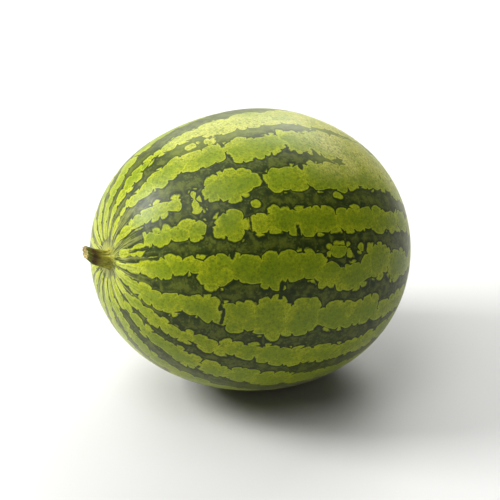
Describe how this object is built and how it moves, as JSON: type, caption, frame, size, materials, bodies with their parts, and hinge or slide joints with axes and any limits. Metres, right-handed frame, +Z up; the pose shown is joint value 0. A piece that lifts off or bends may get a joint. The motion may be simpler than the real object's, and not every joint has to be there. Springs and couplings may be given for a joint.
{
  "type": "watermelon",
  "caption": "Small round striped watermelon lying on its side, with a short cut stem stub at one end and a small flat resting spot.",
  "frame": {"origin": "middle of the small flat spot that the fruit rests on", "axes": "+Z up, -Z out of the resting spot, -X towards the stem end, which is raised 10 degrees, +X towards the blossom end"},
  "size_m": [0.1984, 0.1628, 0.1622],
  "materials": {
    "rind": "waxy satin rind, yellow-green with dark green stripes",
    "stalk": "dry, ridged, olive to brown"
  },
  "bodies": {
    "root": {"fruit": "rind", "stem_stub": "stalk"}
  },
  "joints": []
}
